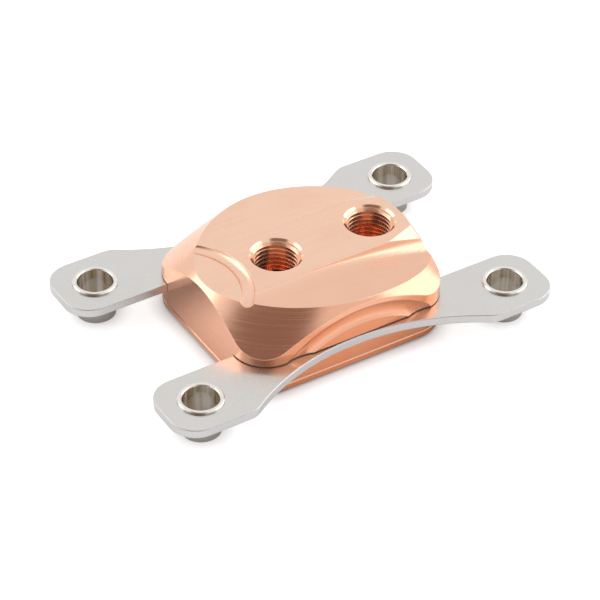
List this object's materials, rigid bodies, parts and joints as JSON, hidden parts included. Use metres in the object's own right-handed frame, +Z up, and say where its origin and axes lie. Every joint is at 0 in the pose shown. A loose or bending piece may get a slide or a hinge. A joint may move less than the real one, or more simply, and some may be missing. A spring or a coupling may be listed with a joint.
{
  "type": "liquid cooling cold plate",
  "caption": "Machined copper water block with two threaded ports, held in two flat steel brackets with sleeved mounting holes, for cooling a server processor.",
  "frame": {"origin": "centre of the flat contact face under the block, on the plane that the bushings' feet share", "axes": "+X along the line of the two ports, from the grooved end; +Y across the block; +Z up, out of the ports"},
  "size_m": [0.116, 0.0778, 0.022],
  "materials": {
    "copper": "finely machined, satin",
    "copper_base": "lapped",
    "bracket_steel": "satin",
    "bushing_nickel": "polished nickel",
    "screw_steel": "plain",
    "inner_steel": "plain sheet",
    "seal": "matte"
  },
  "bodies": {
    "root": {"block_body": "copper", "cold_plate": "copper_base", "jet_plate": "inner_steel", "seal_ring": "seal", "bracket_front": "bracket_steel", "bracket_back": "bracket_steel", "bushing_front_left": "bushing_nickel", "bushing_front_right": "bushing_nickel", "bushing_back_left": "bushing_nickel", "bushing_back_right": "bushing_nickel", "plate_screw_1": "screw_steel", "plate_screw_2": "screw_steel", "plate_screw_3": "screw_steel", "plate_screw_4": "screw_steel", "plate_screw_5": "screw_steel", "plate_screw_6": "screw_steel", "plate_screw_7": "screw_steel", "plate_screw_8": "screw_steel", "bracket_screw_front_left": "screw_steel", "bracket_screw_front_right": "screw_steel", "bracket_screw_back_left": "screw_steel", "bracket_screw_back_right": "screw_steel"}
  },
  "joints": []
}
